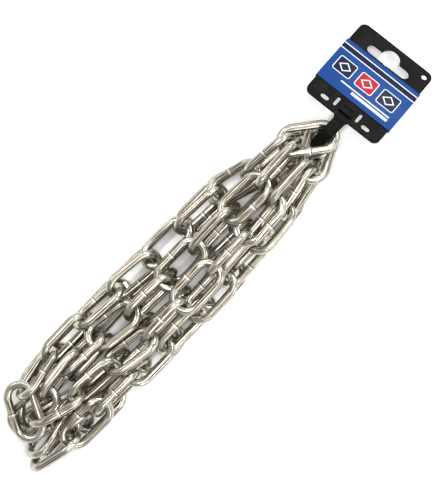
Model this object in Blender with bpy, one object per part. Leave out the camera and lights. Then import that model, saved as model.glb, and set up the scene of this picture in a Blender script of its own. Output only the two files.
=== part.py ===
"""Hank of welded steel chain, tied at one end to a plastic hang tag.

The chain is one length of 75 links, 6 mm wire, folded to and fro eight times.
The top link of each of its four loops is held by a black strap that locks into the tag.
The hank lies on a level floor with its long side along X and the tag at the +X end.
Lengths are in millimetres here and become metres when a mesh is made.
"""

import math

import bmesh
import bpy
import numpy as np
from mathutils import Matrix, Vector

MM = 0.001

# Chain: one link is a wire ring with two straight bars and two round bows
WIRE = 6.0
INNER_LENGTH = 33.0
OUTER_WIDTH = 25.0
CLEARANCE = 0.35
WIRE_SIDES = 6
BOW_STEPS = 6
BOW_RADIUS = (OUTER_WIDTH - WIRE) / 2
HALF_BAR = (INNER_LENGTH + WIRE) / 2 - BOW_RADIUS
HALF_WIRE = WIRE / 2

# Heap: how high each pass starts above the one before, the two sides it is gathered between
# (their y at these x), and how far apart the wires of two joined links run where they cross
PASS_RISE = 25.0
LOWER_SIDE = ((60, 170, 245), (-35, -33, -25))
UPPER_SIDE = ((50, 62, 225, 255), (33, 37, 37, 27))
FUSED_SPACING = 4.8
NEAR = 9.5

# Strap: the flat tail of the tag, over and down through the four top links, back along the
# floor and up into the lock. RISE and CREST are corners of its path, as (x, z)
STRAP_WIDTH = 9.0
STRAP_THICK = 1.5
STRAP_KEPT = 1.0
STRAP_BEND = 2.0
STRAP_Y = 2.5
STRAP_FOOT = (314.0, 1.2)
STRAP_RISE = ((286.0, 1.2), (297.0, 34.0))
STRAP_CREST = ((297.0, 42.6), (306.4, 42.6))

# Hang tag: a moulded card, drooping from the strap until its far corner is on the floor
TAG_LENGTH = 72.3
TAG_WIDTH = 62.6
TAG_THICK = 2.0
TAG_CORNER = 5.0
TAG_NEAR = (312.6, 4.0, 37.3)
TAG_TURN = (4.45, -27.4, -5.5)
LOCK_AT = (6.5, -1.0)
LOCK_SIZE = (6.6, 10.4, 2.6)

# Holes in the card: places are measured from the middle of its near edge, and a slot's
# size is half of its straight side and the radius of its ends
HANG_SLOT_AT, HANG_SLOT = (58.9, 0.0), (13.8, 3.9)
HUMP_AT, HUMP_RADIUS = (61.9, 0.0), 7.3
STRING_HOLE_AT, STRING_HOLE_RADIUS = (67.1, -26.1), 2.2
OVALS_AT, OVAL = ((5.4, 17.2), (5.4, -18.2)), (1.3, 2.1)
SLITS_AT, SLIT = ((8.5, 8.9), (8.5, -10.3)), (3.1, 1.15)

# Printed sleeve folded round the card
SLEEVE_START = 14.8
SLEEVE_LENGTH = 38.5
SLEEVE_THICK = 0.4
SLEEVE_GAP = 0.35

ZINC = (0.62, 0.60, 0.57)
BLACK = (0.018, 0.018, 0.017)
BLUE = (0.02, 0.10, 0.36)


def clear_scene():
    for old in list(bpy.data.objects):
        bpy.data.objects.remove(old, do_unlink=True)


def own_material(obj, colour, roughness, metallic):
    mat = bpy.data.materials.new(obj.name)
    mat.use_nodes = True
    shader = mat.node_tree.nodes["Principled BSDF"]
    shader.inputs["Base Color"].default_value = (*colour, 1.0)
    shader.inputs["Roughness"].default_value = roughness
    shader.inputs["Metallic"].default_value = metallic
    mat.diffuse_color = (*colour, 1.0)
    obj.data.materials.append(mat)


def rounded(corners, radius, steps=4, closed=False):
    """The path through these corners, with each bend rounded to the radius."""
    points = [np.array(corner, float) for corner in corners]
    ring = [points[-1], *points, points[0]] if closed else points
    path = [] if closed else [points[0]]
    for before, corner, after in zip(ring, ring[1:], ring[2:]):
        back = (before - corner) / np.linalg.norm(before - corner)
        on = (after - corner) / np.linalg.norm(after - corner)
        half = math.acos(float(back @ on)) / 2
        middle = corner + (back + on) / np.linalg.norm(back + on) * radius / math.sin(half)
        start = corner + back * radius / math.tan(half) - middle
        end = corner + on * radius / math.tan(half) - middle
        sweep = math.pi - 2 * half
        for k in range(steps + 1):
            turn = sweep * k / steps
            path.append(middle + (start * math.sin(sweep - turn) + end * math.sin(turn)) / math.sin(sweep))
    return path if closed else path + [points[-1]]


# The route of the chain, read off the heap: for each link its centre across the floor,
# its turn about Z and how far it leans over from lying flat, in degrees.
# Each strand is listed from the strap end to the free end of the hank.
UNDER_LEANS = [75, -15, 60, -30, 60, -30, 60, -15]


def strand(xs, ys, leans, yaws=None):
    yaws = yaws or [0] * len(xs)
    return [list(row) for row in zip(xs, ys, yaws, leans)]


def upper_edge_under():
    return strand(
        [263, 232, 201, 169, 137, 106, 75, 45, 19, 34],
        [14, 22, 25, 25, 25, 25, 24, 21, 12, 4],
        UNDER_LEANS + [75, -15],
        [0] * 8 + [40, -20],
    )


def middle_under():
    return strand([263, 232, 200, 168, 136, 104, 73, 42], [5, 8, 8, 8, 8, 8, 8, 4], UNDER_LEANS)


def lower_middle_under():
    return strand([263, 232, 201, 169, 137, 105, 73, 42], [-5, -8, -9, -9, -9, -9, -9, -6], UNDER_LEANS)


def lower_edge_under():
    return strand([263, 234, 203, 172, 141, 110, 80, 53], [-10, -17, -20, -21, -21, -21, -19, -16], UNDER_LEANS)


def lower_edge():
    return strand(
        [253, 221, 190, 158, 126, 98, 68, 40],
        [-16, -20, -22, -22, -25, -25, -25, -27],
        [65, -75, 20, -10, 75, -15, 75, 0],
    )


def lower_middle():
    return strand(
        [255, 220, 184, 152, 121, 91, 60, 28],
        [-12, -18, -19, -16, -11, -14, -8, -4],
        [95, 45, 130, 40, 110, -20, 35, -70],
        [0] * 6 + [-5, -35],
    )


def upper_edge():
    return strand(
        [262, 228, 195, 165, 132, 104, 72, 42],
        [21, 28, 27, 28, 23, 29, 28, 28],
        [60, -55, 65, -55, 10, -80, 35, -65],
    )


def middle():
    return strand(
        [262, 228, 194, 160, 127, 98],
        [12, 10, 8, 10, 7.5, 9.5],
        [60, -10, 75, 0, 90, 0],
    )


class Route:
    """The links in chain order, each with its place, pass height and neighbours' joints."""

    def __init__(self):
        self.rows = []
        self.hooks = {}
        self.joints = {}
        self.runs = []

    def add_strand(self, rows, level, runs=()):
        first = len(self.rows)
        for x, y, yaw, lean in rows:
            self.rows.append((x, y, self.height(level), yaw, lean))
        self.runs += [tuple(first + k for k in run) for run in runs]

    def add_link(self, x, y, yaw, lean, level, hook=0):
        if hook:
            self.hooks[len(self.rows)] = hook
        self.rows.append((x, y, self.height(level), yaw, lean))

    def joint_here(self, x, y):
        """Where the link added last meets the next one."""
        self.joints[len(self.rows) - 1] = (x, y)

    @staticmethod
    def height(level):
        return OUTER_WIDTH / 2 + PASS_RISE * level


def chain_route():
    """hook=1 is a top link held by the strap, with both neighbours in its left bow.
    hook=-1 is a turning link at the free end, with both in its right bow."""
    route = Route()
    tail = upper_edge_under()[::-1]
    route.add_strand(tail[:1], 0)
    route.joint_here(6, 3)
    route.add_strand(tail[1:], 0, runs=[(1, 2, 3), (4, 5, 6), (7, 8)])
    route.add_link(283, 3, 5, 0, 0.5, hook=1)
    route.add_strand(middle_under(), 1, runs=[(0, 1, 2), (3, 4, 5), (6, 7)])
    route.add_link(14, -4, 10, 75, 1.5, hook=-1)
    route.add_strand(lower_middle_under()[::-1], 2, runs=[(0, 1, 2), (3, 4, 5), (6, 7)])
    route.add_link(287, -3, 15, 5, 2.5, hook=1)
    route.add_strand(lower_edge_under(), 3, runs=[(0, 1, 2), (3, 4, 5)])
    route.joint_here(40, -15)
    route.add_link(24, -19, 22, 60, 3.3)
    route.joint_here(6, -22)
    route.add_link(12, -22, -12, -50, 3.7)
    route.joint_here(27, -27)
    route.add_strand(lower_edge()[::-1], 4)
    route.add_link(285.5, -6.5, 38, 0, 4.5, hook=1)
    route.add_strand(lower_middle(), 5)
    route.joint_here(12, 6)
    route.add_link(21, 17, 60, 10, 5.5)
    route.joint_here(28, 30)
    route.add_strand(upper_edge()[::-1], 6)
    route.add_link(294, 6, -30, 20, 6.5, hook=1)
    route.add_strand(middle(), 7)
    route.add_link(68, 8, 0, 90, 6.3)
    route.add_link(43, 9, 0, 60, 5.4)
    route.joint_here(29, 9)
    route.add_link(13, 8, -5, 15, 4.4)
    return route


def link_frame(yaw, pitch, lean):
    """Columns: along the link, across it, and square to its plane."""
    yaw, pitch, lean = map(math.radians, (yaw, pitch, lean))
    along = np.array([math.cos(yaw) * math.cos(pitch), math.sin(yaw) * math.cos(pitch), math.sin(pitch)])
    level = np.array([-math.sin(yaw), math.cos(yaw), 0.0])
    across = math.cos(lean) * level + math.sin(lean) * np.cross(along, level)
    return np.stack([along, across, np.cross(along, across)], axis=1)


def frame_along(step, lean):
    yaw = math.degrees(math.atan2(step[1], step[0]))
    pitch = math.degrees(math.asin(step[2] / np.linalg.norm(step)))
    return link_frame(yaw, pitch, lean)


def threaded_start(route):
    """Places the links so that each goes through the next one, the passes one above another."""
    rows = np.array(route.rows, float)
    count = len(rows)
    joints = (rows[1:, :3] + rows[:-1, :3]) / 2
    for k, side in route.hooks.items():
        turn = link_frame(rows[k, 3], 0, rows[k, 4])
        across = turn[:, 1]
        even = across * (1, 1, 0) if abs(across[2]) < 0.7 else across * (0, 0, 1)
        order = 1 if (joints[k - 1] - joints[k]) @ even > 0 else -1
        seat = rows[k, :3] - side * 13 * link_frame(rows[k, 3], 0, 0)[:, 0]
        joints[k - 1] = seat + order * across * 3.5
        joints[k] = seat - order * across * 3.5
    for k, (x, y) in route.joints.items():
        joints[k] = (x, y, joints[k][2])

    centres, frames = np.zeros((count, 3)), np.zeros((count, 3, 3))
    for k, (x, y, z, yaw, lean) in enumerate(rows):
        if k in route.hooks:
            centres[k], frames[k] = (x, y, z), link_frame(yaw, 0, lean)
            continue
        start = joints[k - 1] if k else None
        end = joints[k] if k < count - 1 else None
        if start is None:
            start = end + INNER_LENGTH * (rows[k, :3] - end) / np.linalg.norm(rows[k, :3] - end)
        if end is None:
            end = start + INNER_LENGTH * (rows[k, :3] - start) / np.linalg.norm(rows[k, :3] - start)
        step = end - start
        beside_top = any(route.hooks.get(near, 0) > 0 for near in (k - 1, k + 1))
        centres[k] = (start + end) / 2
        frames[k] = frame_along(step if step[0] > 0 else -step, 90 if beside_top else lean)
    centres[0, 0] -= 9
    return centres, frames, rows


def link_outline():
    """The middle of the wire round one link, as corner points in the link's own plane."""
    points = []
    for end in (1, -1):
        for k in range(BOW_STEPS + 1):
            angle = math.radians(-90 + 180 * k / BOW_STEPS)
            x, y = HALF_BAR + BOW_RADIUS * math.cos(angle), BOW_RADIUS * math.sin(angle)
            points.append((end * x, end * y, 0.0))
    return np.array(points)


def nearest(p, d, q, e):
    """How far along two sets of segments p + s d and q + t e their nearest points lie."""
    r = p - q
    dd, de, ee = (d * d).sum(1), (d * e).sum(1), (e * e).sum(1)
    dr, er = (d * r).sum(1), (e * r).sum(1)
    cross = dd * ee - de * de
    skew = cross > 1e-6 * dd * ee
    s = np.where(skew, (de * er - dr * ee) / np.where(skew, cross, 1), 0.5)
    t = np.clip((de * np.clip(s, 0, 1) + er) / ee, 0, 1)
    return np.clip((de * t - dr) / dd, 0, 1), t


def turned(frames, turns):
    """Each frame turned by its own small vector."""
    angle = np.maximum(np.linalg.norm(turns, axis=1), 1e-12)
    x, y, z = (turns / angle[:, None]).T
    o = np.zeros(len(turns))
    spin = np.stack([o, -z, y, z, o, -x, -y, x, o], axis=1).reshape(-1, 3, 3)
    sine, rest = np.sin(angle)[:, None, None], (1 - np.cos(angle))[:, None, None]
    return (np.eye(3) + sine * spin + rest * (spin @ spin)) @ frames


def squared(frames):
    along = frames[:, :, 0] / np.linalg.norm(frames[:, :, 0], axis=1)[:, None]
    across = frames[:, :, 1] - (along * frames[:, :, 1]).sum(1)[:, None] * along
    across /= np.linalg.norm(across, axis=1)[:, None]
    return np.stack([along, across, np.cross(along, across)], axis=2)


def strap_below():
    """The strap's path under the heap and up through the top links' openings."""
    return rounded([(x, STRAP_Y, z) for x, z in (STRAP_FOOT, *STRAP_RISE)], STRAP_BEND)


class Heap:
    """Works out how the threaded links lie: they come down to the floor together,
    and wherever two wires are too close both links are moved and turned apart."""

    # resistance to turning about the link's own three axes, for a link of weight one
    SPIN = np.array([72.0, 120.0, 192.0])
    PUSH = 0.35
    MOST_SHIFT, MOST_TURN = 1.0, 0.06

    def __init__(self, route):
        self.centres, self.frames, rows = threaded_start(route)
        self.count = len(rows)
        self.aim = rows[:, :2]
        self.aim_frames = np.stack([link_frame(yaw, 0, lean) for yaw, lean in rows[:, 3:]])
        self.outline = link_outline()
        self.top_links = [k for k, side in route.hooks.items() if side > 0]
        self.fused = {(a, b) for run in route.runs for a, b in zip(run, run[1:])}
        self.strap = self.strap_lines()

    @staticmethod
    def strap_lines():
        """Three lines along the strap that stand for it while the links settle round it."""
        path = strap_below() + [np.array([STRAP_RISE[1][0], STRAP_Y, 260.0])]
        inset = STRAP_WIDTH / 2 - STRAP_THICK / 2
        offsets = [np.array([0, dy, 0]) for dy in (-inset, 0, inset)]
        starts = [p + off for off in offsets for p in path[:-1]]
        ends = [p + off for off in offsets for p in path[1:]]
        return np.array(starts), np.array(ends)

    def wires(self):
        return self.centres[:, None, :] + np.einsum("nij,kj->nki", self.frames, self.outline)

    def segments(self):
        wires = self.wires()
        starts = np.vstack([wires.reshape(-1, 3), self.strap[0]])
        ends = np.vstack([np.roll(wires, -1, axis=1).reshape(-1, 3), self.strap[1]])
        owner = np.concatenate([
            np.repeat(np.arange(self.count), wires.shape[1]),
            np.full(len(self.strap[0]), self.count),
        ])
        return starts, ends, owner

    def close_pairs(self):
        starts, ends, owner = self.segments()
        middle, half = (starts + ends) / 2, np.linalg.norm(ends - starts, axis=1) / 2
        square = (middle ** 2).sum(1)
        apart = square[:, None] + square[None, :] - 2 * middle @ middle.T
        limit = half[:, None] + half[None, :] + NEAR
        return np.nonzero((apart < limit ** 2) & (owner[:, None] < owner[None, :]))

    def touches(self, pairs):
        """Every two segments that are too close, and for fused links the ones that hold them together."""
        starts, ends, owner = self.segments()
        i, j = pairs
        s, t = nearest(starts[i], ends[i] - starts[i], starts[j], ends[j] - starts[j])
        p = starts[i] + s[:, None] * (ends[i] - starts[i])
        q = starts[j] + t[:, None] * (ends[j] - starts[j])
        distance = np.linalg.norm(p - q, axis=1)
        radius = np.where(np.arange(len(owner)) < len(owner) - len(self.strap[0]), HALF_WIRE, STRAP_KEPT)
        want = radius[i] + radius[j] + CLEARANCE
        code = owner[i] * self.count + owner[j]
        fused_codes = [a * self.count + b for a, b in sorted(self.fused)]
        fused = np.isin(code, fused_codes) & (owner[j] < self.count)
        want[fused] = FUSED_SPACING
        hit = distance < want
        for value in fused_codes:
            own = np.nonzero(fused & (code == value))[0]
            if len(own):
                hit[own[np.argmin(distance[own])]] = True
        normal = (p - q)[hit] / np.maximum(distance[hit], 1e-9)[:, None]
        return owner[i[hit]], owner[j[hit]], p[hit], q[hit], normal, (want - distance)[hit]

    def limits(self):
        """Corners of the wires that are below the floor or past the gathered sides."""
        wires = self.wires()
        low = np.interp(wires[:, :, 0], *LOWER_SIDE)
        high = np.interp(wires[:, :, 0], *UPPER_SIDE)
        found = []
        for axis, sign, limit in ((2, 1, 0), (1, 1, low), (1, -1, -high)):
            short = limit + HALF_WIRE - sign * wires[:, :, axis]
            k, m = np.nonzero(short > 0)
            normal = np.zeros((len(k), 3))
            normal[:, axis] = sign
            found.append((k, wires[k, m], normal, short[k, m]))
        return found

    def arm(self, k, at, normal):
        """How a push along normal, at a point of link k, turns that link."""
        lever = np.cross(at - self.centres[k], normal)
        own = np.einsum("nji,nj->ni", self.frames[k], lever) / self.SPIN
        return lever, np.einsum("nij,nj->ni", self.frames[k], own)

    def push_apart(self, pairs):
        """Moves every link out of its touches by a share of their depth. The strap doesn't give."""
        shift, turn = np.zeros((self.count, 3)), np.zeros((self.count, 3))
        i, j, p, q, normal, depth = self.touches(pairs)
        free = (j < self.count).astype(float)
        j = np.minimum(j, self.count - 1)
        lever_i, turn_i = self.arm(i, p, normal)
        lever_j, turn_j = self.arm(j, q, normal)
        give = 1 + (lever_i * turn_i).sum(1) + free * (1 + (lever_j * turn_j).sum(1))
        amount = (depth / give)[:, None]
        np.add.at(shift, i, amount * normal)
        np.add.at(turn, i, amount * turn_i)
        np.add.at(shift, j, -amount * free[:, None] * normal)
        np.add.at(turn, j, -amount * free[:, None] * turn_j)
        for k, at, direction, short in self.limits():
            lever, turned_by = self.arm(k, at, direction)
            amount = (short / (1 + (lever * turned_by).sum(1)))[:, None]
            np.add.at(shift, k, amount * direction)
            np.add.at(turn, k, amount * turned_by)
        self.move(shift * self.PUSH, turn * self.PUSH)
        return np.abs(depth).max() if len(depth) else 0.0

    def move(self, shift, turn):
        size = np.maximum(np.linalg.norm(shift, axis=1), 1e-9)[:, None]
        self.centres += shift * np.minimum(1, self.MOST_SHIFT / size)
        size = np.maximum(np.linalg.norm(turn, axis=1), 1e-9)[:, None]
        self.frames = turned(self.frames, turn * np.minimum(1, self.MOST_TURN / size))

    def lower(self, drop, hold=0.02, hold_top=0.15):
        """Lets all links down a little, and draws each one gently to its place on the route."""
        share = np.full(self.count, hold)
        share[self.top_links] = hold_top
        self.centres[:, :2] += share[:, None] * (self.aim - self.centres[:, :2])
        self.centres[:, 2] -= drop
        off = sum(np.cross(self.frames[:, :, a], self.aim_frames[:, :, a]) for a in range(3)) / 2
        self.frames = turned(self.frames, share[:, None] * off)

    def round_off(self):
        """Drops the last digits, so that the heap comes out the same each time."""
        self.centres = np.round(self.centres, 5)
        self.frames = np.round(squared(self.frames), 7)

    def settle(self):
        """Down in three ever slower stages, then pushed apart until nothing is too close."""
        for drop, steps in ((0.5, 340), (0.15, 220), (0.05, 150)):
            for step in range(steps):
                if step % 4 == 0:
                    pairs = self.close_pairs()
                self.lower(drop)
                for _ in range(3):
                    self.push_apart(pairs)
                self.round_off()
        for step in range(1500):
            if step % 6 == 0:
                pairs = self.close_pairs()
            worst = self.push_apart(pairs)
            self.round_off()
            if worst < 0.02:
                break


def settled_heap():
    route = chain_route()
    heap = Heap(route)
    heap.settle()
    return heap, route


def new_object(name, mesh, hank):
    """A smooth-shaded object of this mesh, carried by the hank."""
    data = bpy.data.meshes.new(name)
    bmesh.ops.recalc_face_normals(mesh, faces=mesh.faces)
    mesh.to_mesh(data)
    mesh.free()
    obj = bpy.data.objects.new(name, data)
    bpy.context.scene.collection.objects.link(obj)
    obj.parent = hank
    return obj


def smooth(obj, angle):
    obj.data.shade_smooth()
    obj.data.set_sharp_from_angle(angle=math.radians(angle))


def set_place(obj, centre, frame):
    obj.location = Vector(centre) * MM
    obj.rotation_euler = Matrix(frame.tolist()).to_euler()


def tube_faces(mesh, rings, closed):
    following = rings[1:] + rings[:1] if closed else rings[1:]
    for ring, after in zip(rings, following):
        for k in range(len(ring)):
            m = (k + 1) % len(ring)
            mesh.faces.new((ring[k], ring[m], after[m], after[k]))
    if not closed:
        mesh.faces.new(rings[0][::-1])
        mesh.faces.new(rings[-1])


def link_mesh():
    """One link lying flat: a six-sided wire carried round the outline and closed on itself."""
    mesh = bmesh.new()
    rings = []
    for x, y, _ in link_outline():
        outward = Vector((x - math.copysign(HALF_BAR, x), y, 0)).normalized()
        ring = []
        for k in range(WIRE_SIDES):
            angle = 2 * math.pi * k / WIRE_SIDES
            spoke = math.cos(angle) * outward + math.sin(angle) * Vector((0, 0, 1))
            ring.append(mesh.verts.new((Vector((x, y, 0)) + HALF_WIRE * spoke) * MM))
        rings.append(ring)
    tube_faces(mesh, rings, closed=True)
    return mesh


def add_link(name, centre, frame, hank):
    obj = new_object(name, link_mesh(), hank)
    set_place(obj, centre, frame)
    smooth(obj, 75)
    own_material(obj, ZINC, 0.3, 1.0)
    return obj


def combine(obj, other, operation):
    """Joins another closed body to this one, or cuts it away, and keeps the other as a helper."""
    change = obj.modifiers.new(other.name, "BOOLEAN")
    change.operation = operation
    change.object = other
    other.hide_render = True
    other.display_type = "WIRE"


def add_chain(heap, route, hank):
    """Each link is its own piece, apart from the buried runs, whose links are joined in one."""
    pieces = []
    in_runs = {k for run in route.runs for k in run}
    for k in range(heap.count):
        if k not in in_runs:
            pieces.append(add_link(f"link_{k + 1:02d}", heap.centres[k], heap.frames[k], hank))
    for run in route.runs:
        name = f"links_{run[0] + 1:02d}_to_{run[-1] + 1:02d}"
        first = add_link(name, heap.centres[run[0]], heap.frames[run[0]], hank)
        for k in run[1:]:
            other = add_link(f"part_of_run_{k + 1:02d}", heap.centres[k], heap.frames[k], hank)
            combine(first, other, "UNION")
        pieces.append(first)
    return pieces


def slab(name, outline, low, high, hank):
    """A flat plate with this outline, listed anticlockwise seen from above."""
    mesh = bmesh.new()
    base = [mesh.verts.new((p[0] * MM, p[1] * MM, low * MM)) for p in outline]
    face = mesh.faces.new(base)
    top = bmesh.ops.extrude_face_region(mesh, geom=[face])["geom"]
    raised = [part for part in top if isinstance(part, bmesh.types.BMVert)]
    bmesh.ops.translate(mesh, vec=(0, 0, (high - low) * MM), verts=raised)
    return new_object(name, mesh, hank)


def stadium(at, size, along_x, steps=6):
    """A slot outline with round ends."""
    (x, y), (half_length, radius) = at, size
    points = []
    for k in range(2 * steps + 2):
        angle = math.pi * (k - k // (steps + 1)) / steps - math.pi / 2
        shift = half_length if k <= steps else -half_length
        a, b = shift + radius * math.cos(angle), radius * math.sin(angle)
        points.append((x + a, y + b) if along_x else (x - b, y + a))
    return points


def circle(at, radius, steps=14):
    angles = [2 * math.pi * k / steps for k in range(steps)]
    return [(at[0] + radius * math.cos(angle), at[1] + radius * math.sin(angle)) for angle in angles]


def card_outline():
    """A rectangle with round corners, and a flared root for the strap on its near edge."""
    half, y = TAG_WIDTH / 2, LOCK_AT[1]
    corners = rounded([(0, half), (0, -half), (TAG_LENGTH, -half), (TAG_LENGTH, half)], TAG_CORNER, closed=True)
    split = next(k for k, point in enumerate(corners) if point[1] < 0)
    root = [(0, y + 6.6), (-2.0, y + 4.8), (-2.0, y - 4.8), (0, y - 6.6)]
    return [*corners[:split], *root, *corners[split:]]


def tag_holes(hank):
    """Cutters for the hanging slot with its hump, the string hole, and the ovals and slits by the lock."""
    outlines = [stadium(HANG_SLOT_AT, HANG_SLOT, False), circle(HUMP_AT, HUMP_RADIUS, 18)]
    outlines.append(circle(STRING_HOLE_AT, STRING_HOLE_RADIUS))
    outlines += [stadium(at, OVAL, False, 4) for at in OVALS_AT]
    outlines += [stadium(at, SLIT, True, 3) for at in SLITS_AT]
    return [slab(f"hole_{k}", outline, -3, 3, hank) for k, outline in enumerate(outlines)]


def tag_point(x, y, z=0.0):
    """A point of the card, in the frame of the hank."""
    return np.array(TAG_NEAR) + link_frame(*TAG_TURN) @ np.array([x, y, z])


def strap_path():
    """From the card's near edge over the top link, down, back along the floor and up into the lock."""
    middle = [(x, STRAP_Y, z) for x, z in (*STRAP_CREST[::-1], *STRAP_RISE[::-1], STRAP_FOOT)]
    root, below, lock = tag_point(3, LOCK_AT[1]), tag_point(*LOCK_AT, -6), tag_point(*LOCK_AT, 1.6)
    return rounded([root, *middle, below, lock], STRAP_BEND)


def add_strap(hank):
    """A strip of rectangular section along its path, level across."""
    path = strap_path()
    mesh = bmesh.new()
    rings = []
    for k, point in enumerate(path):
        step = path[min(k + 1, len(path) - 1)] - path[max(k - 1, 0)]
        outward = np.cross((0, 1, 0), step)
        outward = outward / np.linalg.norm(outward) * STRAP_THICK / 2
        across = np.array([0, STRAP_WIDTH / 2, 0])
        rings.append([
            mesh.verts.new(Vector(corner) * MM)
            for corner in (point + across + outward, point + across - outward,
                           point - across - outward, point - across + outward)
        ])
    tube_faces(mesh, rings, closed=False)
    return new_object("strap_part", mesh, hank)


def add_tag(hank):
    """The card, its lock box and its strap are one moulding."""
    card = slab("hang_tag", card_outline(), -TAG_THICK / 2, TAG_THICK / 2, hank)
    x, y = LOCK_AT
    a, b = LOCK_SIZE[0] / 2, LOCK_SIZE[1] / 2
    lock = slab("lock_part", [(x - a, y - b), (x + a, y - b), (x + a, y + b), (x - a, y + b)],
                0, TAG_THICK / 2 + LOCK_SIZE[2], hank)
    turn = link_frame(*TAG_TURN)
    holes = tag_holes(hank)
    for piece in [card, lock, *holes]:
        set_place(piece, TAG_NEAR, turn)
    for hole in holes:
        combine(card, hole, "DIFFERENCE")
    combine(card, lock, "UNION")
    combine(card, add_strap(hank), "UNION")
    smooth(card, 40)
    own_material(card, BLACK, 0.45, 0.0)
    return card


def add_sleeve(hank):
    """A thin printed sheet folded round the card, as a flat tube open at its two ends."""
    half, thick = TAG_WIDTH / 2 + SLEEVE_GAP, TAG_THICK / 2 + SLEEVE_GAP
    mesh = bmesh.new()
    rings = []
    for x in (SLEEVE_START, SLEEVE_START + SLEEVE_LENGTH):
        for more in (0, SLEEVE_THICK):
            a, b = half + more, thick + more
            corners = [(-a, -b), (a, -b), (a, b), (-a, b)]
            rings.append([mesh.verts.new(Vector((x, p, q)) * MM) for p, q in corners])
    near_in, near_out, far_in, far_out = rings
    tube_faces(mesh, [near_in, near_out, far_out, far_in], closed=True)
    sleeve = new_object("label_sleeve", mesh, hank)
    set_place(sleeve, TAG_NEAR, link_frame(*TAG_TURN))
    smooth(sleeve, 40)
    own_material(sleeve, BLUE, 0.35, 0.0)
    return sleeve


def stand_on_origin(hank, pieces):
    """Moves the hank so that the middle of its underside is at the origin."""
    bpy.context.view_layer.update()
    graph = bpy.context.evaluated_depsgraph_get()
    points = []
    for obj in pieces:
        shape = obj.evaluated_get(graph)
        mesh = shape.to_mesh()
        points += [shape.matrix_world @ vertex.co for vertex in mesh.vertices]
        shape.to_mesh_clear()
    low = [min(point[axis] for point in points) for axis in range(3)]
    high = [max(point[axis] for point in points) for axis in range(3)]
    hank.location = (-(low[0] + high[0]) / 2, -(low[1] + high[1]) / 2, -low[2])


clear_scene()
hank = bpy.data.objects.new("hank", None)
bpy.context.scene.collection.objects.link(hank)
heap, route = settled_heap()
pieces = add_chain(heap, route, hank) + [add_tag(hank), add_sleeve(hank)]
stand_on_origin(hank, pieces)
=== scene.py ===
"""Hank of zinc-plated steel chain on its plastic hang tag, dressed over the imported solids."""

import math

import bmesh
import bpy
from mathutils import Matrix, Vector


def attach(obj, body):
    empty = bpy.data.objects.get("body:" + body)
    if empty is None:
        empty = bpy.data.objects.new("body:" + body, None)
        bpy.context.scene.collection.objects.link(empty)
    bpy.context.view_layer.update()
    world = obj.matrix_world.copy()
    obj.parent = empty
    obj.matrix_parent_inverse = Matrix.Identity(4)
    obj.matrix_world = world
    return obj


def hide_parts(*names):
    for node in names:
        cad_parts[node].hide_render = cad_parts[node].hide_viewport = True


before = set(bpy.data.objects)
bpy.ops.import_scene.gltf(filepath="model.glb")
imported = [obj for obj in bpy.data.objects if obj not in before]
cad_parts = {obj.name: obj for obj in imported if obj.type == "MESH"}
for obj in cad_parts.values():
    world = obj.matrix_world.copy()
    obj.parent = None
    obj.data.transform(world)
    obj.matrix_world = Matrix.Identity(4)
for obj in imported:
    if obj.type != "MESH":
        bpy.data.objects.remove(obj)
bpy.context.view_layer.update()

# Studio: a pale matt floor, long soft lights hung over the hank in line with its bars, and a
# camera looking straight down with the hank running from the lower left to the upper right.
FLOOR_SIZE = 6.0
LOOK_AT = (0.0051, -0.0033)
PHOTO_TURN = math.radians(-44.5)
CAMERA_HEIGHT = 2.2
CAMERA_LENS = 153.0
FILM_HEIGHT = 24.0
ROOM_COLOUR = (0.92, 0.90, 0.86, 1)
ROOM_LIGHT = 0.55


def select_none():
    if bpy.context.object and bpy.context.object.mode != "OBJECT":
        bpy.ops.object.mode_set(mode="OBJECT")
    bpy.ops.object.select_all(action="DESELECT")


def soft_light(name, place, size, power):
    """A rectangular softbox that faces the middle of the hank, its first side in line with it."""
    light = bpy.data.lights.new(name, "AREA")
    light.shape = "RECTANGLE"
    light.size, light.size_y = size
    light.energy = power
    lamp = bpy.data.objects.new(name, light)
    bpy.context.scene.collection.objects.link(lamp)
    away = Vector(place).normalized()
    along = (Vector((1, 0, 0)) - away * away.x).normalized()
    turn = Matrix((along, away.cross(along), away)).transposed().to_4x4()
    lamp.matrix_world = Matrix.Translation(place) @ turn


select_none()
bpy.ops.mesh.primitive_plane_add(size=FLOOR_SIZE, location=(0, 0, 0))
floor = bpy.context.object
floor.name = "floor"

camera_data = bpy.data.cameras.new("photo_camera")
camera_data.sensor_fit = "VERTICAL"
camera_data.sensor_height = FILM_HEIGHT
camera_data.lens = CAMERA_LENS
camera = bpy.data.objects.new("photo_camera", camera_data)
camera.location = (*LOOK_AT, CAMERA_HEIGHT)
camera.rotation_euler = (0, 0, PHOTO_TURN)
bpy.context.scene.collection.objects.link(camera)
bpy.context.scene.camera = camera

world = bpy.data.worlds.new("studio")
bpy.context.scene.world = world
world.use_nodes = True
world.node_tree.nodes["Background"].inputs["Color"].default_value = ROOM_COLOUR
world.node_tree.nodes["Background"].inputs["Strength"].default_value = ROOM_LIGHT
bpy.context.scene.view_settings.view_transform = "Standard"

soft_light("over_middle", place=(0.25, 0.04, 2.60), size=(2.0, 0.26), power=36)
soft_light("upper_side", place=(0.10, 1.30, 1.10), size=(2.0, 0.16), power=18)
soft_light("lower_side", place=(0.10, -1.15, 1.00), size=(2.0, 0.13), power=15)
soft_light("tag_end", place=(1.50, 0.15, 0.95), size=(0.16, 1.0), power=19)


# Chain: each link is a 6 mm wire bent round, butt-welded at the middle of one straight side
# and then zinc plated. One link is modelled and a copy laid wherever the solids have one.
MM = 0.001
CLOSE = 0.01
WIRE_RADIUS = 2.9
BOW_RADIUS = 9.45
HALF_BAR = 10.0
HALF_ROUND = 2 * HALF_BAR + math.pi * BOW_RADIUS
WIRE_SIDES = 18
BOW_SECTIONS = 36
BAR_RINGS = 7
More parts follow.
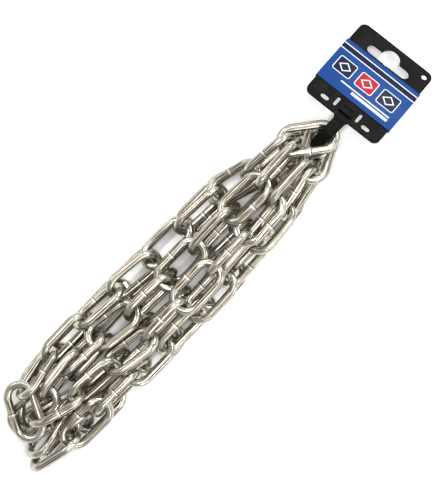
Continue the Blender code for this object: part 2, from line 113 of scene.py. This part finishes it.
# The rings of the welded bar: where each lies at first, where it goes, and its girth there.
WELD_RINGS = ((-5, -1.5, 1.0), (-2.5, -0.7, 1.03), (0, 0, 1.03), (2.5, 0.8, 0.985), (5, 1.5, 1.0))
# Each link has its own stretch of one long scale in mm, so that no two show the same lines.
WIRE_STRETCH = 200.0
LINE_LENGTHENING = 50
RIDGES_ROUND_WIRE = 10
# Of every fifteen links, those turned over so that the weld is on the other side.
TURNED_OVER = (0, 1, 3, 4, 7, 9, 12, 14)
TURNED_OVER_REPEAT = 15
# Limits for telling the links' long edges apart in the solids: four lengths in mm, the cosine
# of an angle and a count.
LENGTH_SLACK = 0.02
LEVEL_SLACK = 0.15
OVER_LINK_WIDTH = 26.0
OVER_WIRE_WIDTH = 7.0
SAME_WAY = 0.9999
FEWEST_LONG_EDGES = 8


class Socket:
    """One output of a material's node, so that sums on it read as plain sums."""

    def __init__(self, finish, socket):
        self.finish, self.socket = finish, socket

    def sum_of(self, operation, first, second=0.0):
        return self.finish.node("Math", {"operation": operation}, {0: first, 1: second})

    def __add__(self, other):
        return self.sum_of("ADD", self, other)

    def __sub__(self, other):
        return self.sum_of("SUBTRACT", self, other)

    def __rsub__(self, other):
        return self.sum_of("SUBTRACT", other, self)

    def __mul__(self, other):
        return self.sum_of("MULTIPLY", self, other)

    def __gt__(self, other):
        return self.sum_of("GREATER_THAN", self, other)

    def __lt__(self, other):
        return self.sum_of("LESS_THAN", self, other)

    def __abs__(self):
        return self.sum_of("ABSOLUTE", self)

    __radd__ = __add__
    __rmul__ = __mul__


class Finish:
    """A material built from nodes, on one Principled shader."""

    def __init__(self, name, **constants):
        self.material = bpy.data.materials.new(name)
        self.material.use_nodes = True
        self.tree = self.material.node_tree
        self.shader = self.tree.nodes["Principled BSDF"]
        self.paint(**constants)

    def give(self, node, sockets):
        for key, value in sockets.items():
            if isinstance(value, Socket):
                self.tree.links.new(value.socket, node.inputs[key])
            elif isinstance(value, tuple) and node.inputs[key].type == "RGBA":
                node.inputs[key].default_value = (*value, 1.0)
            else:
                node.inputs[key].default_value = value

    def node(self, kind, settings=None, sockets=None, output=0):
        """Adds a node: its settings first, then the values or links of its sockets."""
        node = self.tree.nodes.new("ShaderNode" + kind)
        for key, value in (settings or {}).items():
            setattr(node, key, value)
        self.give(node, sockets or {})
        return Socket(self, node.outputs[output])

    def place(self):
        """The point on the object itself, in metres."""
        return self.node("TexCoord", output=3)

    def part(self, vector, axis):
        """One part of a vector: 0 for x, 1 for y, 2 for z."""
        return self.node("SeparateXYZ", {}, {0: vector}, axis)

    def mix(self, factor, first, second):
        return self.node("Mix", {"data_type": "RGBA"}, {0: factor, 6: first, 7: second}, 2)

    def between(self, value, low, high, to_low=0.0, to_high=1.0):
        """A soft step from to_low to to_high as the value goes from low to high."""
        return self.node(
            "MapRange", {"interpolation_type": "SMOOTHSTEP"},
            {0: value, 1: low, 2: high, 3: to_low, 4: to_high},
        )

    def noise(self, vector, scale, detail=2.0, roughness=0.5):
        sockets = {"Vector": vector, "Scale": scale, "Detail": detail, "Roughness": roughness}
        return self.node("TexNoise", {}, sockets)

    def bump(self, height, distance):
        return self.node("Bump", {}, {"Height": height, "Distance": distance, "Strength": 1.0})

    def paint(self, **sockets):
        self.give(self.shader, {key.replace("_", " "): value for key, value in sockets.items()})


def select_parts(obj, test, mode="VERT"):
    """In edit mode, selects just the vertices or faces whose middle passes the test, in mm."""
    bpy.ops.mesh.select_mode(type=mode)
    bpy.ops.mesh.select_all(action="DESELECT")
    mesh = bmesh.from_edit_mesh(obj.data)
    for part in mesh.verts if mode == "VERT" else mesh.faces:
        middle = (part.co if mode == "VERT" else part.calc_center_median()) / MM
        if test(middle):
            part.select_set(True)
    mesh.select_flush_mode()
    bmesh.update_edit_mesh(obj.data)


def model_link():
    """A ring of wire, cut in two and drawn apart, with straight bars between and a weld collar on one."""
    select_none()
    bpy.ops.mesh.primitive_torus_add(
        major_radius=BOW_RADIUS * MM, minor_radius=WIRE_RADIUS * MM,
        major_segments=BOW_SECTIONS, minor_segments=WIRE_SIDES,
    )
    link = bpy.context.object
    bpy.ops.object.mode_set(mode="EDIT")
    for side in (1, -1):
        select_parts(link, lambda at: side * at.x > 0, "FACE")
        if side == 1:
            bpy.ops.mesh.split()
        bpy.ops.transform.translate(value=(side * HALF_BAR * MM, 0, 0))
    for side in (1, -1):
        select_parts(link, lambda at: abs(abs(at.x) - HALF_BAR) < CLOSE and side * at.y > 0)
        bpy.ops.mesh.bridge_edge_loops(number_cuts=BAR_RINGS)
    for place, moved, girth in WELD_RINGS:
        select_parts(link, lambda at: abs(at.x - place) < CLOSE and at.y > 0)
        bpy.ops.transform.translate(value=((moved - place) * MM, 0, 0))
        middle = (moved * MM, BOW_RADIUS * MM, 0)
        bpy.ops.transform.resize(value=(1, girth, girth), center_override=middle)
    bpy.ops.mesh.select_all(action="SELECT")
    bpy.ops.mesh.normals_make_consistent(inside=False)
    bpy.ops.object.mode_set(mode="OBJECT")
    bpy.ops.object.shade_smooth()
    return link


def along_wire(at):
    """How far round the link's wire a point is from the weld, and the wire's outward direction there."""
    if abs(at.x) <= HALF_BAR:
        outward = Vector((0, math.copysign(1, at.y), 0))
        far = at.x if at.y > 0 else math.copysign(HALF_ROUND, at.x) - at.x
        return far, outward
    end = math.copysign(1, at.x)
    outward = Vector((at.x - end * HALF_BAR, at.y, 0)).normalized()
    return end * (HALF_BAR + BOW_RADIUS * math.acos(max(-1.0, min(1.0, outward.y)))), outward


def record_wire(mesh, number):
    """Keeps, at each corner, the distance from the weld along the wire and the place round the wire."""
    kept = mesh.attributes.new("wire", "FLOAT_VECTOR", "CORNER")
    for face in mesh.polygons:
        side = math.copysign(1, face.center.x)
        for corner in face.loop_indices:
            at = mesh.vertices[mesh.loops[corner].vertex_index].co / MM
            far, outward = along_wire(at)
            if abs(at.x) < CLOSE and at.y < 0:
                far = side * HALF_ROUND
            middle = Vector((max(-HALF_BAR, min(HALF_BAR, at.x)), 0, 0)) + outward * BOW_RADIUS
            spoke = at - middle
            kept.data[corner].vector = (far + WIRE_STRETCH * number, spoke.dot(outward), spoke.z)


def long_edges(node):
    """The long straight edges of a solid's links, as middle and direction, in a group for each link."""
    solid = bmesh.new()
    solid.from_mesh(node.data)
    bmesh.ops.remove_doubles(solid, verts=solid.verts, dist=CLOSE * MM)
    groups = []
    for edge in solid.edges:
        start, end = (vertex.co / MM for vertex in edge.verts)
        if abs((end - start).length - 2 * HALF_BAR) > LENGTH_SLACK:
            continue
        middle, along = (start + end) / 2, (end - start).normalized()
        along = along if along.x > 0 else -along
        for group in groups:
            apart = middle - group[0][0]
            beside = abs(apart.dot(along)) < LEVEL_SLACK and apart.length < OVER_LINK_WIDTH
            if beside and along.dot(group[0][1]) > SAME_WAY:
                group.append((middle, along))
                break
        else:
            groups.append([(middle, along)])
    solid.free()
    return [group for group in groups if len(group) >= FEWEST_LONG_EDGES]


def link_places(node):
    """Centre and axes of each link in a solid. A bar's middle is halfway between its farthest edges."""
    places = []
    for group in long_edges(node):
        first, along = group[0]
        bars = []
        for near in (True, False):
            bar = [middle for middle, _ in group if ((middle - first).length < OVER_WIRE_WIDTH) == near]
            bars.append(max(((a - b).length, (a + b) / 2) for a in bar for b in bar if a is not b)[1])
        across = (bars[0] - bars[1]).normalized()
        across = across if across.z > 0 else -across
        across = (across - along * across.dot(along)).normalized()
        turn = Matrix((along, across, along.cross(across))).transposed().to_4x4()
        places.append(Matrix.Translation((bars[0] + bars[1]) / 2 * MM) @ turn)
    return places


def plated_steel():
    """Bright zinc over drawn wire: fine lines along the bars, with painted reflection streaks and bars
    painted darker than the bows as painted shade, a milky bloom, and a weld scar.
    """
    zinc = Finish("zinc_plate", Metallic=1.0)
    # Places along the wire are in mm from the weld. The straight bars are nearest it and farthest.
    wire = zinc.node("Attribute", {"attribute_name": "wire"}, output=1)
    far, outward, upward = (zinc.part(wire, axis) for axis in (0, 1, 2))
    ends = {1: WIRE_STRETCH / 2, 2: -WIRE_STRETCH / 2}
    from_weld = zinc.node("Math", {"operation": "WRAP"}, {0: far, **ends})
    away = abs(from_weld)
    on_bar = zinc.between(away, 9, 14, 1, 0) + zinc.between(away, 35, 40)

    # The lines are drawn out along the wire and mirrored at the weld, so they meet opposite it.
    past_weld = zinc.node("CombineXYZ", {}, {0: from_weld - away})
    both_ways = zinc.node("VectorMath", {"operation": "SUBTRACT"}, {0: wire, 1: past_weld})
    lengthen = (1 / LINE_LENGTHENING, 1, 1)
    drawn = zinc.node("VectorMath", {"operation": "MULTIPLY"}, {0: both_ways, 1: lengthen})
    broad_lines = zinc.noise(drawn, scale=0.55, detail=0)
    round_wire = zinc.node("Math", {"operation": "ARCTAN2"}, {0: outward, 1: upward})
    phase = round_wire * RIDGES_ROUND_WIRE + broad_lines * 5
    ridges = zinc.node("Math", {"operation": "SINE"}, {0: phase})
    fine_lines = zinc.noise(drawn, scale=1.55, detail=0.5) + ridges * 0.12

    bloom = zinc.between(zinc.noise(zinc.place(), scale=130, detail=4), 0.35, 0.7)
    stained = zinc.between(zinc.noise(zinc.place(), scale=45, detail=2), 0.55, 0.72)
    # The drawn lines are real only in the bump. In the colour they are painted reflections: dark and
    # light streaks along the bars.
    painted_dark_streaks = zinc.between(fine_lines, 0.505, 0.535) * on_bar
    painted_bright_streaks = zinc.between(fine_lines, 0.46, 0.42) * on_bar
    scratches = zinc.between(zinc.noise(drawn, scale=3.6, detail=0), 0.58, 0.62) * on_bar
    scorched = zinc.between(away, 1.5, 5.0, 1, 0)
    collar = zinc.between(away, 0.40, 0.75, 1, 0)
    notch = zinc.between(abs(from_weld - 1.0), 0.12, 0.40, 1, 0)

    metal = zinc.mix(bloom, (0.380, 0.362, 0.316), (0.515, 0.497, 0.445))
    for share, colour in (
        # The bars' darker base is painted shade: it dims their reflections against the brighter bows.
        (on_bar * 0.8, (0.375, 0.346, 0.288)),
        (stained * 0.4, (0.290, 0.275, 0.205)),
        (painted_dark_streaks * 0.95, (0.088, 0.072, 0.052)),
        (painted_bright_streaks * 0.80, (0.760, 0.725, 0.645)),
        (scratches * 0.6, (0.16, 0.135, 0.10)),
        (scorched * 0.22, (0.440, 0.390, 0.320)),
        (collar * 0.65, (0.830, 0.810, 0.770)),
        (notch * 0.8, (0.060, 0.050, 0.040)),
    ):
        metal = zinc.mix(share, metal, colour)
    zinc.paint(
        Base_Color=metal,
        Roughness=zinc.between(fine_lines, 0.3, 0.7, 0.22, 0.34) + on_bar * 0.12 + notch * 0.3,
        Normal=zinc.bump(broad_lines + fine_lines * 0.8 * on_bar - notch, 0.3 * MM),
    )
    return zinc.material


pattern_link = model_link()
zinc_plate = plated_steel()
number = 0
for name in sorted(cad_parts):
    if not name.startswith("link"):
        continue
    for place in link_places(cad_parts[name]):
        number += 1
        mesh = pattern_link.data.copy()
        record_wire(mesh, number)
        if number % TURNED_OVER_REPEAT in TURNED_OVER:
            mesh.transform(Matrix.Rotation(math.pi, 4, "X"))
        mesh.transform(place)
        mesh.materials.append(zinc_plate)
        link = bpy.data.objects.new(f"chain_link_{number:02d}", mesh)
        bpy.context.scene.collection.objects.link(link)
        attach(link, "root")
        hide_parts(name)
bpy.data.objects.remove(pattern_link)


# Hang tag: one black moulding, a card with a hanging slot, smaller holes and a lock box. Its
# ribbed tail is the strap, which goes down through the top links and back up into the lock.
TAG_TURN = (4.45, -27.4, -5.5)
TAG_NEAR = (127.402, 1.458, 37.301)
CARD = (72.3, 62.6, 2.0)
CARD_CORNER = 5.0
NECK_AT = (-0.5, -1, 0)
NECK = (3, 13.2, CARD[2])
NECK_TAPER = 0.73
SLOT_AT, SLOT = (58.9, 0), (7.8, 35.4)
HUMP_AT, HUMP_RADIUS = (61.9, 0), 7.3
STRING_HOLE_AT, STRING_HOLE_RADIUS = (67.1, -26.1), 2.2
OVALS_AT, OVAL = ((5.4, 17.2), (5.4, -18.2)), (4.2, 6.8)
SLITS_AT, SLIT = ((8.5, 8.9), (8.5, -10.3)), (8.5, 2.3)
CUT_DEPTH = 6
LOCK_AT, LOCK, LOCK_CORNER = (6.5, -1.0, 2.25), (6.6, 10.4, 2.7), 0.5
RECESS_AT, RECESS, RECESS_CORNER = (6.5, -1.0, 3.4), (3.4, 7.8, 1.6), 0.3
CARD_EDGE, LOCK_EDGE = 0.3, 0.2
EDGE_STEPS = 2
HAIR = 0.001
UPRIGHT = 0.9
SHARP_EDGE = math.radians(40)
SMOOTH_EDGE = math.radians(30)


def tag_frame():
    """The card's own axes: from its near edge out, across it, and square to its face."""
    yaw, pitch, lean = map(math.radians, TAG_TURN)
    along = Vector((math.cos(yaw) * math.cos(pitch), math.sin(yaw) * math.cos(pitch), math.sin(pitch)))
    level = Vector((-math.sin(yaw), math.cos(yaw), 0))
    across = math.cos(lean) * level + math.sin(lean) * along.cross(level)
    turn = Matrix((along, across, along.cross(across))).transposed().to_4x4()
    return Matrix.Translation(Vector(TAG_NEAR) * MM) @ turn


def block(at, size, corner=0.0, steps=0):
    """A block of this middle and size in mm, its upright corners rounded in so many steps."""
    select_none()
    bpy.ops.mesh.primitive_cube_add(size=1, location=Vector(at) * MM, scale=Vector(size) * MM)
    obj = bpy.context.object
    bpy.ops.object.transform_apply(location=True, rotation=True, scale=True)
    if corner:
        bpy.ops.object.mode_set(mode="EDIT")
        bpy.ops.mesh.select_mode(type="EDGE")
        bpy.ops.mesh.select_all(action="DESELECT")
        mesh = bmesh.from_edit_mesh(obj.data)
        for edge in mesh.edges:
            step = edge.verts[0].co - edge.verts[1].co
            edge.select_set(abs(step.z) > UPRIGHT * step.length)
        bmesh.update_edit_mesh(obj.data)
        bpy.ops.mesh.bevel(offset=corner * MM, segments=steps, affect="EDGES")
        bpy.ops.mesh.remove_doubles(threshold=HAIR * MM)
        bpy.ops.object.mode_set(mode="OBJECT")
    return obj


def apply_modifier(obj, kind, **settings):
    change = obj.modifiers.new(kind.lower(), kind)
    for key, value in settings.items():
        setattr(change, key, value)
    select_none()
    obj.select_set(True)
    bpy.context.view_layer.objects.active = obj
    bpy.ops.object.modifier_apply(modifier=change.name)


def combine(obj, other, operation):
    apply_modifier(obj, "BOOLEAN", operation=operation, object=other, solver="EXACT")
    bpy.data.objects.remove(other)


def cut_long_hole(card, at, size, steps):
    """A hole through the card with round ends."""
    corner = min(size) / 2 - HAIR
    combine(card, block((*at, 0), (*size, CUT_DEPTH), corner, steps), "DIFFERENCE")


def cut_round_hole(card, at, radius, sides):
    select_none()
    bpy.ops.mesh.primitive_cylinder_add(
        vertices=sides, radius=radius * MM, depth=CUT_DEPTH * MM, location=Vector((*at, 0)) * MM)
    bpy.ops.object.transform_apply(location=True, rotation=True, scale=True)
    combine(card, bpy.context.object, "DIFFERENCE")


def round_edges(obj, width):
    limits = {"limit_method": "ANGLE", "angle_limit": SHARP_EDGE}
    apply_modifier(obj, "BEVEL", width=width * MM, segments=EDGE_STEPS, **limits)
    bpy.ops.object.shade_smooth_by_angle(angle=SMOOTH_EDGE)


def finish_piece(obj, name, place, material, slot, *stands_for):
    """Puts the piece's place into its mesh and lets it ride with the object."""
    obj.name = name
    obj.data.name = name
    obj.data.transform(place)
    obj.data.materials.clear()
    obj.data.materials.append(material)
    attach(obj, "root")
    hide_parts(*stands_for)


def black_plastic():
    """Black polypropylene with a fine sparked grain, greyed a little where it rubs."""
    plastic = Finish("black_plastic", Specular_IOR_Level=0.07)
    grain = plastic.noise(plastic.place(), scale=2600, detail=3, roughness=0.6)
    rubbed = plastic.noise(plastic.place(), scale=70, detail=5, roughness=0.65)
    specks = plastic.noise(plastic.place(), scale=900, detail=2)
    greyed = plastic.between(rubbed, 0.45, 0.75) * 0.5
    colour = plastic.mix(greyed, (0.003, 0.003, 0.0025), (0.009, 0.0085, 0.0075))
    colour = plastic.mix(plastic.between(specks, 0.70, 0.76) * 0.35, colour, (0.08, 0.08, 0.075))
    plastic.paint(
        Base_Color=colour,
        Roughness=plastic.between(rubbed, 0.3, 0.7, 0.42, 0.56),
        Normal=plastic.bump(grain, 0.06 * MM),
    )
    return plastic.material


plastic = black_plastic()
tag_place = tag_frame()
card = block((CARD[0] / 2, 0, 0), CARD, CARD_CORNER, steps=8)
neck = block(NECK_AT, NECK)
bpy.ops.object.mode_set(mode="EDIT")
select_parts(neck, lambda at: at.x < NECK_AT[0])
bpy.ops.transform.resize(value=(1, NECK_TAPER, 1), center_override=(0, NECK_AT[1] * MM, 0))
bpy.ops.object.mode_set(mode="OBJECT")
combine(card, neck, "UNION")
cut_long_hole(card, SLOT_AT, SLOT, steps=10)
cut_round_hole(card, HUMP_AT, HUMP_RADIUS, sides=40)
cut_round_hole(card, STRING_HOLE_AT, STRING_HOLE_RADIUS, sides=32)
for at in OVALS_AT:
    cut_long_hole(card, at, OVAL, steps=8)
for at in SLITS_AT:
    cut_long_hole(card, at, SLIT, steps=6)
round_edges(card, CARD_EDGE)
finish_piece(card, "tag_card", tag_place, plastic, "tag_plastic", "hang_tag")

lock = block(LOCK_AT, LOCK, LOCK_CORNER, steps=3)
combine(lock, block(RECESS_AT, RECESS, RECESS_CORNER, steps=2), "DIFFERENCE")
round_edges(lock, LOCK_EDGE)
finish_piece(lock, "tag_lock_box", tag_place, plastic, "tag_plastic", "hang_tag")


# Strap: the tag's own tail, a flat strip with ribs across its outer face for the lock to bite
# on. It runs over the highest top link, down through all four, along the floor and back up.
STRAP_WIDTH = 9.0
STRAP_THICK = 1.5
STRAP_BEND = 2.4
BEND_STEPS = 5
RIB_PITCH = 1.6
RIB_HEIGHT = 0.4
RIB_SHOULDER = 0.3
RIB_TAPER = (0.7, 0.95, 1)
RIBS_SMOOTH = math.radians(35)
STRAP_Y = -0.042
STRAP_CORNERS = ((121.20, 42.6), (111.80, 42.6), (111.80, 34.0), (100.80, 1.2), (128.80, 1.2))
STRAP_START = (0.5, -1, 0)
STRAP_END = ((6.5, -1, -6), (6.5, -1, 1.6))


def strap_line():
    """The strap's middle line as a curve, its corners rounded."""
    from_card = tag_place @ (Vector(STRAP_START) * MM)
    round_chain = [Vector((x, STRAP_Y, z)) * MM for x, z in STRAP_CORNERS]
    into_lock = [tag_place @ (Vector(at) * MM) for at in STRAP_END]
    points = [from_card, *round_chain, *into_lock]
    data = bpy.data.meshes.new("strap_line")
    data.from_pydata(points, [(k, k + 1) for k in range(len(points) - 1)], [])
    line = bpy.data.objects.new("strap_line", data)
    bpy.context.scene.collection.objects.link(line)
    select_none()
    line.select_set(True)
    bpy.context.view_layer.objects.active = line
    bpy.ops.object.mode_set(mode="EDIT")
    bpy.ops.mesh.select_mode(type="VERT")
    bpy.ops.mesh.select_all(action="SELECT")
    bpy.ops.mesh.bevel(offset=STRAP_BEND * MM, segments=BEND_STEPS, affect="VERTICES")
    bpy.ops.object.mode_set(mode="OBJECT")
    bpy.ops.object.convert(target="CURVE")
    return line


def one_rib():
    """One pitch of the strap: a length of strip, open at both ends, with a rib standing on it."""
    strip = (RIB_PITCH, STRAP_WIDTH, STRAP_THICK - RIB_HEIGHT)
    rib = block((RIB_PITCH / 2, 0, -RIB_HEIGHT / 2), strip)
    bpy.ops.object.mode_set(mode="EDIT")
    select_parts(rib, lambda at: abs(at.x - RIB_PITCH / 2) > RIB_PITCH / 4, "FACE")
    bpy.ops.mesh.delete(type="FACE")
    select_parts(rib, lambda at: at.z > 0, "FACE")
    bpy.ops.mesh.inset(thickness=RIB_SHOULDER * MM)
    bpy.ops.mesh.extrude_region_move(TRANSFORM_OT_translate={"value": (0, 0, RIB_HEIGHT * MM)})
    bpy.ops.transform.resize(value=RIB_TAPER)
    bpy.ops.object.mode_set(mode="OBJECT")
    return rib


line = strap_line()
strap = one_rib()
merged = {"use_merge_vertices": True, "merge_threshold": CLOSE * MM}
apply_modifier(strap, "ARRAY", fit_type="FIT_CURVE", curve=line, **merged)
apply_modifier(strap, "CURVE", object=line, deform_axis="POS_X")
bpy.data.objects.remove(line)
bpy.ops.object.shade_smooth_by_angle(angle=RIBS_SMOOTH)
finish_piece(strap, "tag_strap", Matrix.Identity(4), plastic, "tag_plastic", "hang_tag")


# Printed sleeve: a strip of glossy printed card folded round the tag and closed behind. It has
# a blue ground with plain bands and a row of diamonds.
SLEEVE_START = 14.8
SLEEVE_LENGTH = 38.5
SLEEVE_GAP = 0.35
SLEEVE_THICK = 0.4
SLEEVE_EDGE = 0.15
SLEEVE_INSIDE = (CARD[1] + 2 * SLEEVE_GAP, CARD[2] + 2 * SLEEVE_GAP)
SLEEVE_OUTSIDE = (SLEEVE_INSIDE[0] + 2 * SLEEVE_THICK, SLEEVE_INSIDE[1] + 2 * SLEEVE_THICK)
LONGER_THAN_SLEEVE = 60
# The print, in decimetres: along the card from the sleeve's near edge, and across it.
PRINT_UNIT = 100
WHITE, RED, NAVY = (0.56, 0.59, 0.64), (0.30, 0.008, 0.016), (0.003, 0.007, 0.030)
BLUES = ((0.002, 0.034, 0.150), (0.003, 0.043, 0.180))
NAVY_BAND = (0.305, 0.345)
RULES_AT, RULE_WIDTH = (0.298, 0.345), 0.007
WHITE_BARS = (((0.040, 0.062), (-0.26, 0.05)), ((0.075, 0.085), (-0.26, 0.16)))
BOXES_AT = ((0.185, -0.18), (0.185, 0.01), (0.185, 0.20))
BOX_HALF, BOX_CORNER, BOX_RIM = (0.065, 0.075), 0.018, 0.006
DIAMOND_REACH, DIAMOND_STRETCH, DIAMOND_LINE = 0.036, 0.8, 0.005


def printed_card():
    """Blue print on slightly glossy card, with navy, red and white shapes."""
    printed = Finish("printed_label", Specular_IOR_Level=0.13)
    print_place = printed.node("UVMap", {"uv_map": "print"})
    along, across = (printed.part(print_place, axis) for axis in (0, 1))
    mottle = printed.noise(printed.place(), scale=400, detail=3)

    def band(value, low, high):
        return (value > low) * (value < high)

    def past(value, middle, half):
        return printed.node("Math", {"operation": "MAXIMUM"}, {0: abs(value - middle) - half, 1: 0.0})

    def outside_box(x, y):
        """How far a place is outside a round-cornered box, less than 0 inside it."""
        over_x = past(along, x, BOX_HALF[0] - BOX_CORNER)
        over_y = past(across, y, BOX_HALF[1] - BOX_CORNER)
        reach = printed.node("Math", {"operation": "SQRT"}, {0: over_x * over_x + over_y * over_y})
        return reach - BOX_CORNER

    ground = printed.mix(mottle, *BLUES)
    ground = printed.mix(band(along, *NAVY_BAND), ground, NAVY)
    for low in RULES_AT:
        ground = printed.mix(band(along, low, low + RULE_WIDTH), ground, WHITE)
    for (x, y), fill in zip(BOXES_AT, (NAVY, RED, NAVY)):
        edge = outside_box(x, y)
        ground = printed.mix(edge < 0.0, ground, WHITE)
        ground = printed.mix(edge < -BOX_RIM, ground, fill)
        diamond = abs(along - x) + abs(across - y) * DIAMOND_STRETCH
        ground = printed.mix(abs(diamond - DIAMOND_REACH) < DIAMOND_LINE, ground, WHITE)
    for length, width in WHITE_BARS:
        ground = printed.mix(band(along, *length) * band(across, *width), ground, WHITE)
    printed.paint(
        Base_Color=ground,
        Roughness=printed.between(mottle, 0.3, 0.7, 0.38, 0.48),
        Normal=printed.bump(mottle, 0.02 * MM),
    )
    return printed.material


sleeve_middle = (SLEEVE_START + SLEEVE_LENGTH / 2, 0, 0)
sleeve = block(sleeve_middle, (SLEEVE_LENGTH, *SLEEVE_OUTSIDE))
combine(sleeve, block(sleeve_middle, (LONGER_THAN_SLEEVE, *SLEEVE_INSIDE)), "DIFFERENCE")
round_edges(sleeve, SLEEVE_EDGE)
print_map = sleeve.data.uv_layers.new(name="print")
for corner in sleeve.data.loops:
    at = sleeve.data.vertices[corner.vertex_index].co / MM
    print_map.data[corner.index].uv = ((at.x - SLEEVE_START) / PRINT_UNIT, at.y / PRINT_UNIT)
finish_piece(sleeve, "printed_sleeve", tag_place, printed_card(), "label", "label_sleeve")


# Floor finish: a plain matt off-white, a little uneven. It comes last because it is made with
# the same class as the finishes of the pieces.
matt = Finish("pale_floor", Roughness=0.9)
paper = matt.noise(matt.place(), scale=120, detail=3)
matt.paint(Base_Color=matt.mix(paper, (0.93, 0.93, 0.925), (0.955, 0.955, 0.95)))
floor.data.materials.append(matt.material)
